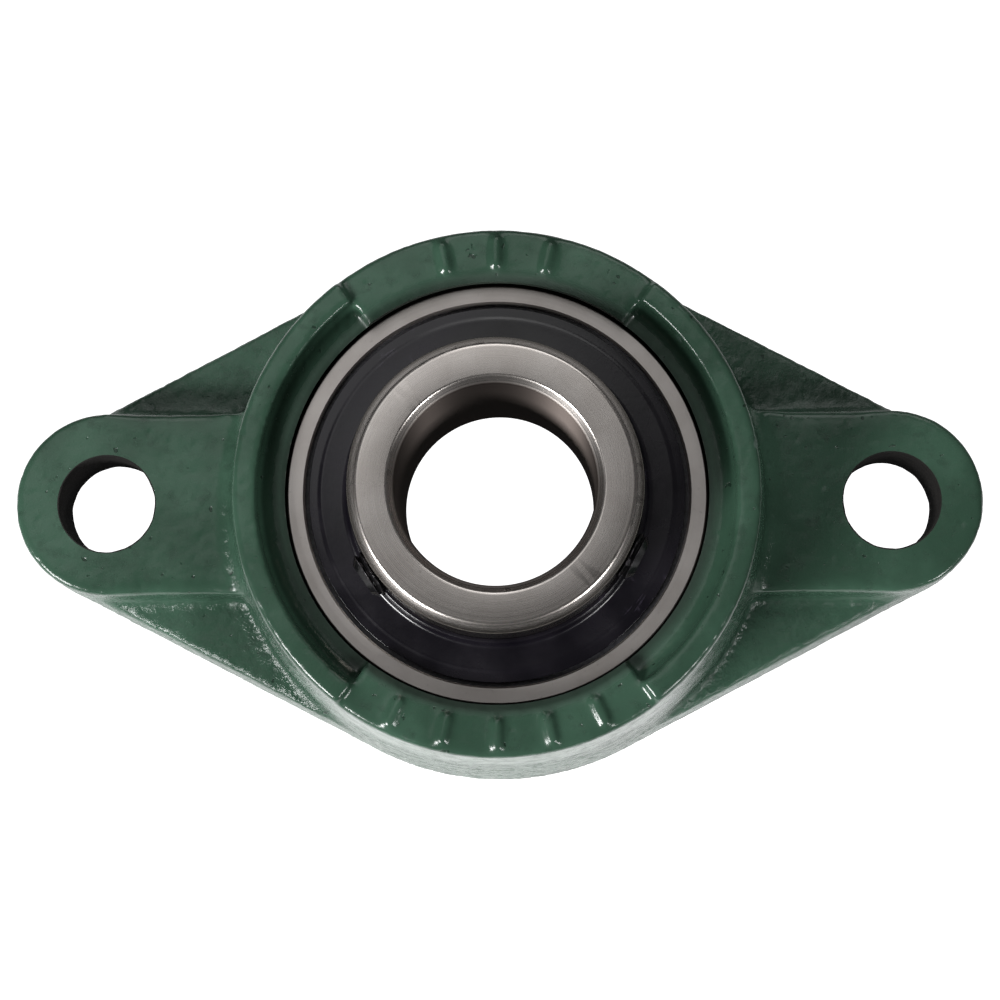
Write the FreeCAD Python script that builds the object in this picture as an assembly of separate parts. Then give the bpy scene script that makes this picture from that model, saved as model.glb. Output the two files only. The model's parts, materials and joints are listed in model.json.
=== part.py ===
"""Two-bolt flange bearing unit, size 207, for a 1 1/4 inch shaft.

A cast housing with a spherical seat holds a self-aligning ball bearing insert. Everything is
in millimetres. The unit lies on its mounting face: the origin is on the bore axis at that
face, +Z runs along the bore to the front, and +X runs through the two bolt holes.
"""
import FreeCAD, Part
import math
import os

from FreeCAD import Vector

# Housing outline, seen along the bore
BOLT_SPACING = 130.0
BOLT_HOLE_R = 8.0
EAR_R = 15.5
BOSS_R = 45.6
INSET = 0.05            # keeps flat walls just inside the round ones that they meet
PAST = 1.0              # how far a cutter runs past the surface that it cuts

# Housing heights above the mounting face
EAR_H = 16.0
WEB_H = 8.5
PAD_H = 33.0
RIM_H = 34.2
RECESS_H = 30.6

# Draft of the cast walls, as radius lost per millimetre of height
EAR_DRAFT = 0.022
BOSS_DRAFT = 0.094

# Front face of the boss
RIM_INNER_R = 38.5
RECESS_FOOT_R = 36.4
RECESS_BEND_OUT = 0.66  # where the recess wall bends, as a share of its width
RECESS_BEND_UP = 0.32   # and as a share of its height
OPENING_R = 34.1
PAD_HALF_ANGLE = 37.0
PAD_CHAMFER = 1.0

# Plain raised bars on the pads
MARK_LENGTH = 5.0
MARK_WIDTH = 1.5
MARK_H = 0.8
MARK_ROOT = 0.5
MARK_R = 38.8
MARK_STEP = 12.5

# Cast fillets and rounded edges
ROOT_FILLET = 3.0
RIM_ROUND = 0.8

# Spherical seat, and the plane of the balls
SEAT_Z = 19.0
SPHERE_R = 36.0
SEAT_CLEARANCE = 0.03
SEAT_BEVEL = 1.0
SLOT_WIDTH = 20.6
SLOT_REACH = 36.1

# Grease path, from the port in the boss to the balls
LUBE_Z = SEAT_Z + 5.75
LUBE_GROOVE_R = 36.9
LUBE_GROOVE_WIDTH = 3.0
PORT_R = 3.0
PORT_FLOOR = 37.6
PLUG_LENGTH = 4.6
PLUG_SOCKET_AF = 3.0
PLUG_SOCKET_DEPTH = 2.6
LUBE_DEPTH = 0.8
LUBE_HOLE_R = 0.7

# Bearing insert
BORE_R = 31.75 / 2
INNER_R = 23.45
INNER_BACK = SEAT_Z - 17.5
INNER_FRONT = SEAT_Z + 25.4
BORE_CHAMFER = 1.3
INNER_CHAMFER = 1.4
OUTER_HALF_WIDTH = 10.0
OUTER_CHAMFER = 0.9
OUTER_FACE_R = 33.67
OUTER_BORE_R = 31.07
EDGE_BREAK = 0.3
LAND_R = 29.7

# Balls and raceways
BALL_R = 11.112 / 2
PITCH_R = 53.5 / 2
BALL_COUNT = 9
RACEWAY_R = 5.78
RACEWAY_CLEARANCE = 0.02

# Pressed cage, in two halves
CAGE_T = 0.7
CAGE_POCKET_R = BALL_R + 0.1
CAGE_INNER_R = 24.7
CAGE_OUTER_R = 28.8
RIVET_R = 0.8
RIVET_HEAD_R = 1.35
RIVET_HEAD_H = 0.5

# Seals and slingers, as heights above the plane of the balls
SEAL_GROOVE_R = 31.5
SEAL_R = 31.46
SEAL_START = 6.8
RUBBER_T = 0.7
RUBBER_LIP_T = 0.35
RUBBER_LIP_TAPER = 1.0
PLATE_T = 0.6
PLATE_INNER_R = 24.65
LIP_CLEARANCE = 0.05
SLINGER_START = 8.6
SLINGER_T = 0.7
SLINGER_R = 30.7
SLINGER_STEP_R = 28.3
SLINGER_SLOPE = 0.5
SLINGER_COLLAR = 3.1

# Set screws through the inner ring, 5/16 inch
SCREW_R = 3.97
SCREW_CLEARANCE = 0.03
SCREW_LENGTH = 7.9
SCREW_START_R = BORE_R + 1.85
SCREW_Z = INNER_FRONT - 8.0
SCREW_ANGLES = {"set_screw_a": 214.0, "set_screw_b": 334.0}
SCREW_SOCKET_AF = 3.97
SCREW_SOCKET_DEPTH = 3.6
SCREW_TIP = 1.2
SCREW_CUP_R = 2.37
SCREW_CUP_FLOOR_R = 0.6

Z_AXIS = Vector(0, 0, 1)
ORIGIN = Vector(0, 0, 0)


def edge_list(points):
    """Straight edges between (r, z) points; a point (r, z, mid_r, mid_z) is reached by an arc."""
    edges = []
    for start, end in zip(points, points[1:] + points[:1]):
        a = Vector(start[0], 0, start[1])
        b = Vector(end[0], 0, end[1])
        if len(end) == 4:
            edges.append(Part.Arc(a, Vector(end[2], 0, end[3]), b).toShape())
        else:
            edges.append(Part.LineSegment(a, b).toShape())
    return edges


def turned(points, start_angle=0.0, sweep=360.0):
    """A profile in radius and height, turned about the bore axis."""
    face = Part.Face(Part.Wire(edge_list(points)))
    solid = face.revolve(ORIGIN, Z_AXIS, sweep)
    solid.rotate(ORIGIN, Z_AXIS, start_angle)
    return solid


def above_balls(points):
    """Profile points with their heights given above the plane of the balls."""
    return [tuple(v + SEAT_Z * (i % 2) for i, v in enumerate(point)) for point in points]


def mirrored(shape):
    """The same piece on the other side of the plane of the balls."""
    return shape.mirror(Vector(0, 0, SEAT_Z), Z_AXIS)


def ring(inner_r, outer_r, bottom, top):
    """A plain ring about the bore axis."""
    outer = Part.makeCylinder(outer_r, top - bottom, Vector(0, 0, bottom))
    inner = Part.makeCylinder(inner_r, top - bottom, Vector(0, 0, bottom))
    return outer.cut(inner)


def at_angle(shape, degrees):
    """A copy of a shape, turned about the bore axis."""
    copy = shape.copy()
    copy.rotate(ORIGIN, Z_AXIS, degrees)
    return copy


def around(shape, count, start=0.0):
    """Copies of a shape, evenly spaced about the bore axis."""
    return [at_angle(shape, start + 360.0 * k / count) for k in range(count)]


def hexagon_prism(across_flats, length, base, direction):
    """A hexagonal prism, for a wrench socket."""
    corner_r = across_flats / math.sqrt(3)
    corners = []
    for k in range(7):
        angle = math.radians(60 * k)
        corners.append(Vector(corner_r * math.cos(angle), corner_r * math.sin(angle), 0))
    prism = Part.Face(Part.makePolygon(corners)).extrude(Vector(0, 0, length))
    prism.Placement = FreeCAD.Placement(base, FreeCAD.Rotation(Z_AXIS, direction))
    return prism


def prismatoid(lower, upper):
    """A solid between two polygons with matching corners and flat sides."""
    count = len(lower)
    faces = [Part.Face(Part.makePolygon(lower + lower[:1]))]
    faces.append(Part.Face(Part.makePolygon(upper + upper[:1])))
    for i in range(count):
        j = (i + 1) % count
        side = [lower[i], lower[j], upper[j], upper[i], lower[i]]
        faces.append(Part.Face(Part.makePolygon(side)))
    return Part.Solid(Part.Shell(faces))


def web_corners(height):
    """Corners of the flange's webs at a height: flat walls that touch the boss and the ears."""
    half = BOLT_SPACING / 2
    lean = math.asin((BOSS_R - EAR_R) / half)
    boss_r = BOSS_R - INSET - BOSS_DRAFT * height
    ear_r = EAR_R - INSET - BOSS_DRAFT * height
    boss_corner = (boss_r * math.sin(lean), boss_r * math.cos(lean))
    ear_corner = (half + ear_r * math.sin(lean), ear_r * math.cos(lean))
    quarter = [ear_corner, boss_corner]
    outline = list(quarter)
    outline += [(-x, y) for x, y in reversed(quarter)]
    outline += [(-x, -y) for x, y in quarter]
    outline += [(x, -y) for x, y in reversed(quarter)]
    return [Vector(x, y, height) for x, y in outline]


def bar_corners(height):
    """Corners of the thick bar that joins the two ears, at a height."""
    half = BOLT_SPACING / 2
    width = EAR_R - INSET - EAR_DRAFT * height
    outline = [(half, width), (-half, width), (-half, -width), (half, -width)]
    return [Vector(x, y, height) for x, y in outline]


def boss_r_at(height):
    """Outside radius of the drafted boss."""
    return BOSS_R - BOSS_DRAFT * height


def flange():
    """Ears, bar and webs of the casting."""
    body = prismatoid(web_corners(0), web_corners(WEB_H))
    body = body.fuse(prismatoid(bar_corners(0), bar_corners(EAR_H)))
    for side in (-1, 1):
        place = Vector(side * BOLT_SPACING / 2, 0, 0)
        body = body.fuse(Part.makeCone(EAR_R, EAR_R - EAR_DRAFT * EAR_H, EAR_H, place))
    return body


def is_bar_root(edge):
    """True for an edge where the bar's top or sides run into the boss."""
    box = edge.BoundBox
    on_bar_top = abs(box.ZMin - EAR_H) < 0.01 and abs(box.ZMax - EAR_H) < 0.01
    up_bar_side = abs(box.ZMin - WEB_H) < 0.01 and abs(box.ZMax - EAR_H) < 0.01
    beside_boss = max(abs(box.XMin), abs(box.XMax)) < BOSS_R
    return beside_boss and (on_bar_top or up_bar_side)


def rough_casting():
    """Flange and solid boss, with the fillets between the bar and the boss."""
    body = flange().fuse(Part.makeCone(BOSS_R, boss_r_at(RIM_H), RIM_H)).removeSplitter()
    body = body.makeFillet(ROOT_FILLET, [edge for edge in body.Edges if is_bar_root(edge)])
    return body.Solids[0]


def outer_edge_cutter(height, start_angle, sweep):
    """What is cut away above a height to leave a rounded edge round the boss."""
    low_z = height - RIM_ROUND
    low_r = boss_r_at(low_z)
    top_r = low_r - RIM_ROUND
    bulge = RIM_ROUND * (1 - math.sqrt(0.5))
    profile = [(BOSS_R, low_z), (low_r, low_z)]
    profile.append((top_r, height, low_r - bulge, height - bulge))
    profile += [(top_r, RIM_H + PAST), (BOSS_R, RIM_H + PAST)]
    return turned(profile, start_angle, sweep)


def recess_cutter(start_angle, sweep):
    """What is cut away inside the rim: a curved wall down to a floor round the opening."""
    mid_r = RECESS_FOOT_R + RECESS_BEND_OUT * (RIM_INNER_R - RECESS_FOOT_R)
    mid_z = RECESS_H + RECESS_BEND_UP * (RIM_H - RECESS_H)
    profile = [(0.0, RECESS_H), (RECESS_FOOT_R, RECESS_H), (RIM_INNER_R, RIM_H, mid_r, mid_z)]
    profile += [(RIM_INNER_R, RIM_H + PAST), (0.0, RIM_H + PAST)]
    return turned(profile, start_angle, sweep)


def pad_cutter(start_angle, sweep):
    """What is cut away above a pad, with a chamfer round the opening."""
    inner_r = OPENING_R + PAD_CHAMFER
    profile = [(0.0, PAD_H - PAD_CHAMFER), (OPENING_R, PAD_H - PAD_CHAMFER), (inner_r, PAD_H)]
    profile += [(BOSS_R, PAD_H), (BOSS_R, RIM_H + PAST), (0.0, RIM_H + PAST)]
    return turned(profile, start_angle, sweep)


def front_cutters():
    """Everything that shapes the boss's front face, sector by sector."""
    pad_sweep = 2 * PAD_HALF_ANGLE
    recess_sweep = 180 - pad_sweep
    cutters = []
    for middle in (90.0, 270.0):
        start = middle - PAD_HALF_ANGLE
        cutters.append(pad_cutter(start, pad_sweep))
        cutters.append(outer_edge_cutter(PAD_H, start, pad_sweep))
        cutters.append(recess_cutter(start + pad_sweep, recess_sweep))
        cutters.append(outer_edge_cutter(RIM_H, start + pad_sweep, recess_sweep))
    return cutters


def seat_cutters():
    """Spherical seat, its openings, the loading slots and the grease groove and port."""
    sphere_r = SPHERE_R + SEAT_CLEARANCE
    below = Vector(0, 0, -PAST)
    bevel_r = OPENING_R + SEAT_BEVEL + PAST
    cutters = [Part.makeSphere(sphere_r, Vector(0, 0, SEAT_Z))]
    cutters.append(Part.makeCylinder(OPENING_R, RIM_H + 2 * PAST, below))
    cutters.append(Part.makeCone(bevel_r, OPENING_R, SEAT_BEVEL + PAST, below))
    corner = Vector(-SLOT_REACH, -SLOT_WIDTH / 2, -PAST)
    cutters.append(Part.makeBox(2 * SLOT_REACH, SLOT_WIDTH, SEAT_Z + PAST, corner))
    groove_bottom = LUBE_Z - LUBE_GROOVE_WIDTH / 2
    groove_top = LUBE_Z + LUBE_GROOVE_WIDTH / 2
    cutters.append(ring(OPENING_R - PAST, LUBE_GROOVE_R, groove_bottom, groove_top))
    start = Vector(0, OPENING_R, LUBE_Z)
    cutters.append(Part.makeCylinder(PORT_R / 2, BOSS_R - OPENING_R, start, Vector(0, 1, 0)))
    floor = Vector(0, PORT_FLOOR, LUBE_Z)
    cutters.append(Part.makeCylinder(PORT_R, BOSS_R - PORT_FLOOR, floor, Vector(0, 1, 0)))
    return cutters


def bolt_hole_cutters():
    """The two plain bolt holes."""
    cutters = []
    for side in (-1, 1):
        place = Vector(side * BOLT_SPACING / 2, 0, -PAST)
        cutters.append(Part.makeCylinder(BOLT_HOLE_R, EAR_H + 2 * PAST, place))
    return cutters


def foundry_mark(angle):
    """One plain raised bar with round ends, pointing at the bore, on a pad."""
    radius = MARK_WIDTH / 2
    straight = MARK_LENGTH - MARK_WIDTH
    low_z = PAD_H - MARK_ROOT
    height = MARK_H + MARK_ROOT
    mark = Part.makeBox(straight, MARK_WIDTH, height, Vector(MARK_R - straight / 2, -radius, low_z))
    for end_r in (MARK_R - straight / 2, MARK_R + straight / 2):
        mark = mark.fuse(Part.makeCylinder(radius, height, Vector(end_r, 0, low_z)))
    return at_angle(mark.removeSplitter(), angle)


def make_housing():
    """The whole cast and machined housing."""
    body = rough_casting()
    body = body.cut(front_cutters())
    body = body.cut(seat_cutters())
    body = body.cut(bolt_hole_cutters())
    marks = [foundry_mark(90.0 + MARK_STEP * k) for k in (-1, 0, 1)]
    marks += [foundry_mark(270.0 + MARK_STEP * k) for k in (-2, -1, 0, 1, 2)]
    return body.fuse(marks).removeSplitter()


def make_port_plug():
    """Flush screw plug with a hexagon socket, in the grease port at the top of the boss."""
    base = Vector(0, PORT_FLOOR, LUBE_Z)
    up = Vector(0, 1, 0)
    plug = Part.makeCylinder(PORT_R, PLUG_LENGTH, base, up)
    socket_base = Vector(0, PORT_FLOOR + PLUG_LENGTH - PLUG_SOCKET_DEPTH, LUBE_Z)
    return plug.cut(hexagon_prism(PLUG_SOCKET_AF, PLUG_SOCKET_DEPTH + PAST, socket_base, up))


def make_outer_ring():
    """Outer ring: ball outside, raceway inside, a seal groove at each side, and grease holes."""
    chamfer_z = OUTER_HALF_WIDTH - OUTER_CHAMFER
    chamfer_r = math.sqrt(SPHERE_R ** 2 - chamfer_z ** 2)
    groove_end = SEAL_START + RUBBER_T + PLATE_T
    upper = [(LAND_R, SEAL_START), (SEAL_GROOVE_R, SEAL_START), (SEAL_GROOVE_R, groove_end)]
    upper += [(OUTER_BORE_R, groove_end), (OUTER_BORE_R, OUTER_HALF_WIDTH - EDGE_BREAK)]
    upper += [(OUTER_BORE_R + EDGE_BREAK, OUTER_HALF_WIDTH), (OUTER_FACE_R, OUTER_HALF_WIDTH)]
    upper += [(chamfer_r, chamfer_z)]
    lower = [(r, -z) for r, z in reversed(upper)]
    lower[0] = (chamfer_r, -chamfer_z, SPHERE_R, 0.0)
    body = turned(above_balls(upper + lower))
    floor_r = PITCH_R + BALL_R + RACEWAY_CLEARANCE
    body = body.cut(Part.makeTorus(floor_r - RACEWAY_R, RACEWAY_R, Vector(0, 0, SEAT_Z)))
    groove_r = math.sqrt(SPHERE_R ** 2 - (LUBE_Z - SEAT_Z) ** 2) - LUBE_DEPTH
    reach = SPHERE_R + PAST
    body = body.cut(ring(groove_r, reach, LUBE_Z - LUBE_DEPTH, LUBE_Z + LUBE_DEPTH))
    start = Vector(0, -reach, LUBE_Z)
    return body.cut(Part.makeCylinder(LUBE_HOLE_R, 2 * reach, start, Vector(0, 1, 0)))


def make_inner_ring():
    """Inner ring, wider than the outer one, with its raceway and two tapped screw holes."""
    profile = [(BORE_R, INNER_BACK + BORE_CHAMFER / 2)]
    profile += [(BORE_R + BORE_CHAMFER / 2, INNER_BACK), (INNER_R - INNER_CHAMFER, INNER_BACK)]
    profile += [(INNER_R, INNER_BACK + INNER_CHAMFER), (INNER_R, INNER_FRONT - INNER_CHAMFER)]
    profile += [(INNER_R - INNER_CHAMFER, INNER_FRONT), (BORE_R + BORE_CHAMFER, INNER_FRONT)]
    profile += [(BORE_R, INNER_FRONT - BORE_CHAMFER)]
    body = turned(profile)
    floor_r = PITCH_R - BALL_R - RACEWAY_CLEARANCE
    body = body.cut(Part.makeTorus(floor_r + RACEWAY_R, RACEWAY_R, Vector(0, 0, SEAT_Z)))
    for angle in SCREW_ANGLES.values():
        hole_r = SCREW_R + SCREW_CLEARANCE
        hole = Part.makeCylinder(hole_r, 2 * INNER_R, Vector(0, 0, SCREW_Z), Vector(1, 0, 0))
        body = body.cut(at_angle(hole, angle))
    return body


def make_set_screw(angle):
    """Set screw with a cup point towards the shaft and a hexagon socket outwards."""
    start = Vector(SCREW_START_R, 0, SCREW_Z)
    outwards = Vector(1, 0, 0)
    tip_r = SCREW_R - SCREW_TIP
    body = Part.makeCone(tip_r, SCREW_R, SCREW_TIP, start, outwards)
    shank_start = start + outwards * SCREW_TIP
    body = body.fuse(Part.makeCylinder(SCREW_R, SCREW_LENGTH - SCREW_TIP, shank_start, outwards))
    body = body.cut(Part.makeCone(SCREW_CUP_R, SCREW_CUP_FLOOR_R, SCREW_TIP, start, outwards))
    socket_base = start + outwards * (SCREW_LENGTH - SCREW_SOCKET_DEPTH)
    socket = hexagon_prism(SCREW_SOCKET_AF, SCREW_SOCKET_DEPTH + PAST, socket_base, outwards)
    return at_angle(body.cut(socket).removeSplitter(), angle)


def ball_angle(index):
    """Angle of a ball about the bore; the first one is at the top."""
    return 90.0 + 360.0 * index / BALL_COUNT


def make_ball(index):
    """One ball of the row."""
    ball = Part.makeSphere(BALL_R, Vector(PITCH_R, 0, SEAT_Z))
    return at_angle(ball, ball_angle(index))


def rivet_holes():
    """Cutters for the cage's rivets, half way between the balls."""
    cutter = Part.makeCylinder(RIVET_R, 4 * CAGE_T, Vector(PITCH_R, 0, SEAT_Z - 2 * CAGE_T))
    return around(cutter, BALL_COUNT, ball_angle(0.5))


def make_cage_half():
    """Front half of the pressed cage: a flat ribbon that bulges round every ball."""
    centre = Vector(PITCH_R, 0, SEAT_Z)
    ribbon = ring(CAGE_INNER_R, CAGE_OUTER_R, SEAT_Z, SEAT_Z + CAGE_T)
    bulges = around(Part.makeSphere(CAGE_POCKET_R + CAGE_T, centre), BALL_COUNT, ball_angle(0))
    limit = ring(CAGE_INNER_R, CAGE_OUTER_R, SEAT_Z, SEAT_Z + 2 * BALL_R)
    half = ribbon.fuse(bulges).common(limit)
    half = half.cut(around(Part.makeSphere(CAGE_POCKET_R, centre), BALL_COUNT, ball_angle(0)))
    return half.cut(rivet_holes()).removeSplitter()


def make_cage_rivets():
    """Rivets that hold the cage halves together, as one group of separate solids."""
    base = Vector(PITCH_R, 0, SEAT_Z - CAGE_T)
    rivet = Part.makeCylinder(RIVET_R, 2 * CAGE_T, base)
    for side in (-1, 1):
        head_base = Vector(PITCH_R, 0, SEAT_Z + side * CAGE_T)
        outwards = Vector(0, 0, side)
        top_r = RIVET_HEAD_R - RIVET_HEAD_H
        head = Part.makeCone(RIVET_HEAD_R, top_r, RIVET_HEAD_H, head_base, outwards)
        rivet = rivet.fuse(head)
    return Part.makeCompound(around(rivet.removeSplitter(), BALL_COUNT, ball_angle(0.5)))


def make_seal_rubber():
    """Front seal's rubber: it sits in the outer ring and its lip runs on the inner ring."""
    low = SEAT_Z + SEAL_START
    top = low + RUBBER_T
    lip_r = INNER_R + LIP_CLEARANCE
    profile = [(SEAL_R, low), (SEAL_R, top), (lip_r, top), (lip_r, top - RUBBER_LIP_T)]
    profile += [(lip_r + RUBBER_LIP_TAPER, low)]
    return turned(profile)


def make_seal_plate():
    """Front seal's pressed steel plate, outside the rubber."""
    low = SEAT_Z + SEAL_START + RUBBER_T
    return ring(PLATE_INNER_R, SEAL_R, low, low + PLATE_T)


def make_slinger():
    """Front slinger: a collar on the inner ring and a stepped disc over the seal."""
    low = SEAT_Z + SLINGER_START
    rise = low + SLINGER_T
    top = rise + SLINGER_T
    collar_r = INNER_R + SLINGER_T
    profile = [(SLINGER_STEP_R, low), (SLINGER_R, low), (SLINGER_R, rise)]
    profile += [(SLINGER_STEP_R + SLINGER_SLOPE, rise), (SLINGER_STEP_R, top)]
    profile += [(collar_r + SLINGER_SLOPE, top), (collar_r, top + SLINGER_SLOPE)]
    profile += [(collar_r, low + SLINGER_COLLAR), (INNER_R, low + SLINGER_COLLAR)]
    profile += [(INNER_R, rise), (SLINGER_STEP_R - SLINGER_SLOPE, rise)]
    return turned(profile)


def make_all():
    """Every node of the unit, by name."""
    nodes = {"housing": make_housing(), "grease_port_plug": make_port_plug()}
    nodes["outer_ring"] = make_outer_ring()
    nodes["inner_ring"] = make_inner_ring()
    for index in range(BALL_COUNT):
        nodes[f"ball_{index + 1}"] = make_ball(index)
    nodes["cage_half_front"] = make_cage_half()
    nodes["cage_half_back"] = mirrored(nodes["cage_half_front"])
    nodes["cage_rivets"] = make_cage_rivets()
    for name, make in (("seal_rubber", make_seal_rubber), ("seal_plate", make_seal_plate),
                       ("slinger", make_slinger)):
        nodes[name + "_front"] = make()
        nodes[name + "_back"] = mirrored(nodes[name + "_front"])
    for name, angle in SCREW_ANGLES.items():
        nodes[name] = make_set_screw(angle)
    return nodes


os.makedirs("parts", exist_ok=True)
for node, shape in make_all().items():
    shape.exportStep(f"parts/{node}.step")
    print(f"{node:20s} solids {len(shape.Solids):2d}  {shape.Volume:10.1f} mm3  valid {shape.isValid()}")
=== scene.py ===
import json
import math

import bmesh
import bpy
import numpy as np
from mathutils import Matrix, Vector, noise


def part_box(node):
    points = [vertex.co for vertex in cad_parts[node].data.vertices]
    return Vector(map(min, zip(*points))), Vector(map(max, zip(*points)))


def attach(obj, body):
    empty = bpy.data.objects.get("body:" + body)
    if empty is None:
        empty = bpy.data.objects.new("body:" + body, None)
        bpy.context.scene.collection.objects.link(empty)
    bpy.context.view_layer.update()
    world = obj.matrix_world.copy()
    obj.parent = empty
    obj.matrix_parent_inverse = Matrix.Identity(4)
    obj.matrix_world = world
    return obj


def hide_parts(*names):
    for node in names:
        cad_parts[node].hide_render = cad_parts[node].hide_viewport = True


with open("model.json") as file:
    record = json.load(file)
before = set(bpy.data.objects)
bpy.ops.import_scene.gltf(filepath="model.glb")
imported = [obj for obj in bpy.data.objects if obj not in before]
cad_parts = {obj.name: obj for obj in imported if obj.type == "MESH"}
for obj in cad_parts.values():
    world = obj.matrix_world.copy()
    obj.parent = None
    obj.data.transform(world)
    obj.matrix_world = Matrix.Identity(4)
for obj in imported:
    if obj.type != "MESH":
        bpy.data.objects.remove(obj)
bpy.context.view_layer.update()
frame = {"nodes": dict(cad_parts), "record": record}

MM = 0.001


# ---------------------------------------------------------------- sizes from the frame

def node_box(name):
    """Lowest and highest corners of a CAD node, in millimetres."""
    low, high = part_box(name)
    return np.array(low) / MM, np.array(high) / MM


def mount_sizes(name):
    """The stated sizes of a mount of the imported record."""
    return next(m for m in frame["record"]["mounts"] if m["name"] == name)["dims"]


# Housing, in millimetres like everything below that is not a Blender call
BOLT_X = mount_sizes("flange_bolts")["spacing_x_mm"] / 2
BOLT_R = mount_sizes("flange_bolts")["hole_r_mm"]
EAR_R = node_box("housing")[1][0] - BOLT_X
SEAT_Z = (node_box("ball_1")[0][2] + node_box("ball_1")[1][2]) / 2
SEAT_R = node_box("outer_ring")[1][0] + 0.03
OPENING_R = 34.1
OPENING_TOP = 38.0
SEAT_BEVEL = 1.0
SLOT_WIDTH = 20.6
SLOT_REACH = 36.1
GROOVE_R = 36.9
PLUG_LOW, PLUG_HIGH = node_box("grease_port_plug")
PORT_Z = (PLUG_LOW[2] + PLUG_HIGH[2]) / 2
PORT_R = PLUG_HIGH[0]
PORT_FLOOR = PLUG_LOW[1]

# Insert
OUTER_FACE_R = 33.72
BORE_R = mount_sizes("shaft_bore")["r_mm"]
INNER_LOW, INNER_HIGH = node_box("inner_ring")
INNER_R = INNER_HIGH[0]
BALL_LOW, BALL_HIGH = node_box("ball_1")
RACE_R = 5.78
RACE_PLAY = 0.02
TAPPED_R = 4.0
TAPPED_FROM, TAPPED_TO = 5, 40
SLINGER_T = 0.7
SLINGER_STEP_R = 28.3

# Set screws
THREAD_PITCH = 1.058
THREAD_DEPTH = 0.55
CUP_DEPTH = 1.1
SOCKET_WIDTH = 3.97
SOCKET_DEPTH = 3.6
SOCKET_TURN = 0.3

# Bands over which the casting's surface changes, in height and in radius from the bore axis
WEB_TOP = (13.5, 15.5)
EAR_TOP = (15.9, 16.6)
FOOT_TOP = (18, 24)
ROOT_TOP = (18.5, 21.0)
ROOT_R = (48.5, 52.0)
UPPER_HALF = (19, 26)
WALL_FOOT = (20, 24)
WALL_TOP = (30.5, 31.8)
WALL_R = (43, 44)
WALL_EDGE_R = (41.5, 42.2)
RECESS_FLOOR = (30.4, 30.5)

# The same for the bar between the ears: its ends along X, its long edges along Y, and its top
BAR_START = (45.0, 48.0)
BAR_END = (58.0, 64.0)
BAR_EDGE = (EAR_R - 3.2, EAR_R - 2.0)
BAR_TOP = (12.5, 14.5)


# ---------------------------------------------------------------- small mesh helpers

def new_object(name, mesh):
    """A new object in the scene for a mesh."""
    obj = bpy.data.objects.new(name, mesh)
    bpy.context.scene.collection.objects.link(obj)
    return obj


def from_bmesh(name, bm):
    """A new object from a bmesh, with its faces turned outwards."""
    bmesh.ops.recalc_face_normals(bm, faces=bm.faces)
    mesh = bpy.data.meshes.new(name)
    bm.to_mesh(mesh)
    bm.free()
    return new_object(name, mesh)


def apply_modifiers(obj):
    """Works the object's modifiers into its mesh."""
    graph = bpy.context.evaluated_depsgraph_get()
    mesh = bpy.data.meshes.new_from_object(obj.evaluated_get(graph))
    old = obj.data
    obj.modifiers.clear()
    obj.data = mesh
    bpy.data.meshes.remove(old)


def cut(obj, cutter):
    """Takes a closed cutter out of an object, and removes the cutter."""
    tool = obj.modifiers.new("cut", "BOOLEAN")
    tool.operation = "DIFFERENCE"
    tool.solver = "MANIFOLD"
    tool.object = cutter
    apply_modifiers(obj)
    bpy.data.objects.remove(cutter)


def shade(obj, sharp_degrees=32):
    """Smooth shading, but for edges sharper than an angle."""
    for face in obj.data.polygons:
        face.use_smooth = True
    obj.data.set_sharp_from_angle(angle=math.radians(sharp_degrees))


def box_piece(low, high):
    """A plain box between two corners, for cutting."""
    bm = bmesh.new()
    size = Vector(high) - Vector(low)
    middle = (Vector(high) + Vector(low)) / 2
    place = Matrix.Translation(middle * MM) @ Matrix.Diagonal((*(size * MM), 1))
    bmesh.ops.create_cube(bm, size=1, matrix=place)
    return from_bmesh("box", bm)


def prism_piece(sides, radius, start, end, turn=0.0):
    """A prism or fine cylinder of a corner radius between two points, for cutting."""
    start, end = Vector(start), Vector(end)
    axis = (end - start).normalized()
    place = Matrix.Translation((start + end) / 2 * MM)
    place = place @ axis.to_track_quat("Z", "Y").to_matrix().to_4x4()
    place = place @ Matrix.Rotation(turn, 4, "Z")
    bm = bmesh.new()
    bmesh.ops.create_cone(bm, cap_ends=True, segments=sides, radius1=radius * MM,
                          radius2=radius * MM, depth=(end - start).length * MM, matrix=place)
    return from_bmesh("prism", bm)


def join_rings(bm, rings):
    """Faces between rings of corners that follow each other."""
    for here, after in zip(rings, rings[1:]):
        for k in range(len(here)):
            j = (k + 1) % len(here)
            bm.faces.new((here[k], here[j], after[j], after[k]))


def cast_hole_piece(x, radius, low, high):
    """An upright hole as cast, a little uneven, for cutting."""
    sides, rows = 96, 24
    bm = bmesh.new()
    rings = []
    for i in range(rows + 1):
        z = low + (high - low) * i / rows
        ring = []
        for k in range(sides):
            a = 2 * math.pi * k / sides
            spot = Vector((x + radius * math.cos(a), radius * math.sin(a), z))
            r = radius + 0.12 * noise.noise(spot * 0.45) + 0.06 * noise.noise(spot * 1.3)
            ring.append(bm.verts.new(Vector((x + r * math.cos(a), r * math.sin(a), z)) * MM))
        rings.append(ring)
    join_rings(bm, rings)
    bm.faces.new(rings[0][::-1])
    bm.faces.new(rings[-1])
    return from_bmesh("cast_hole", bm)


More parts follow.
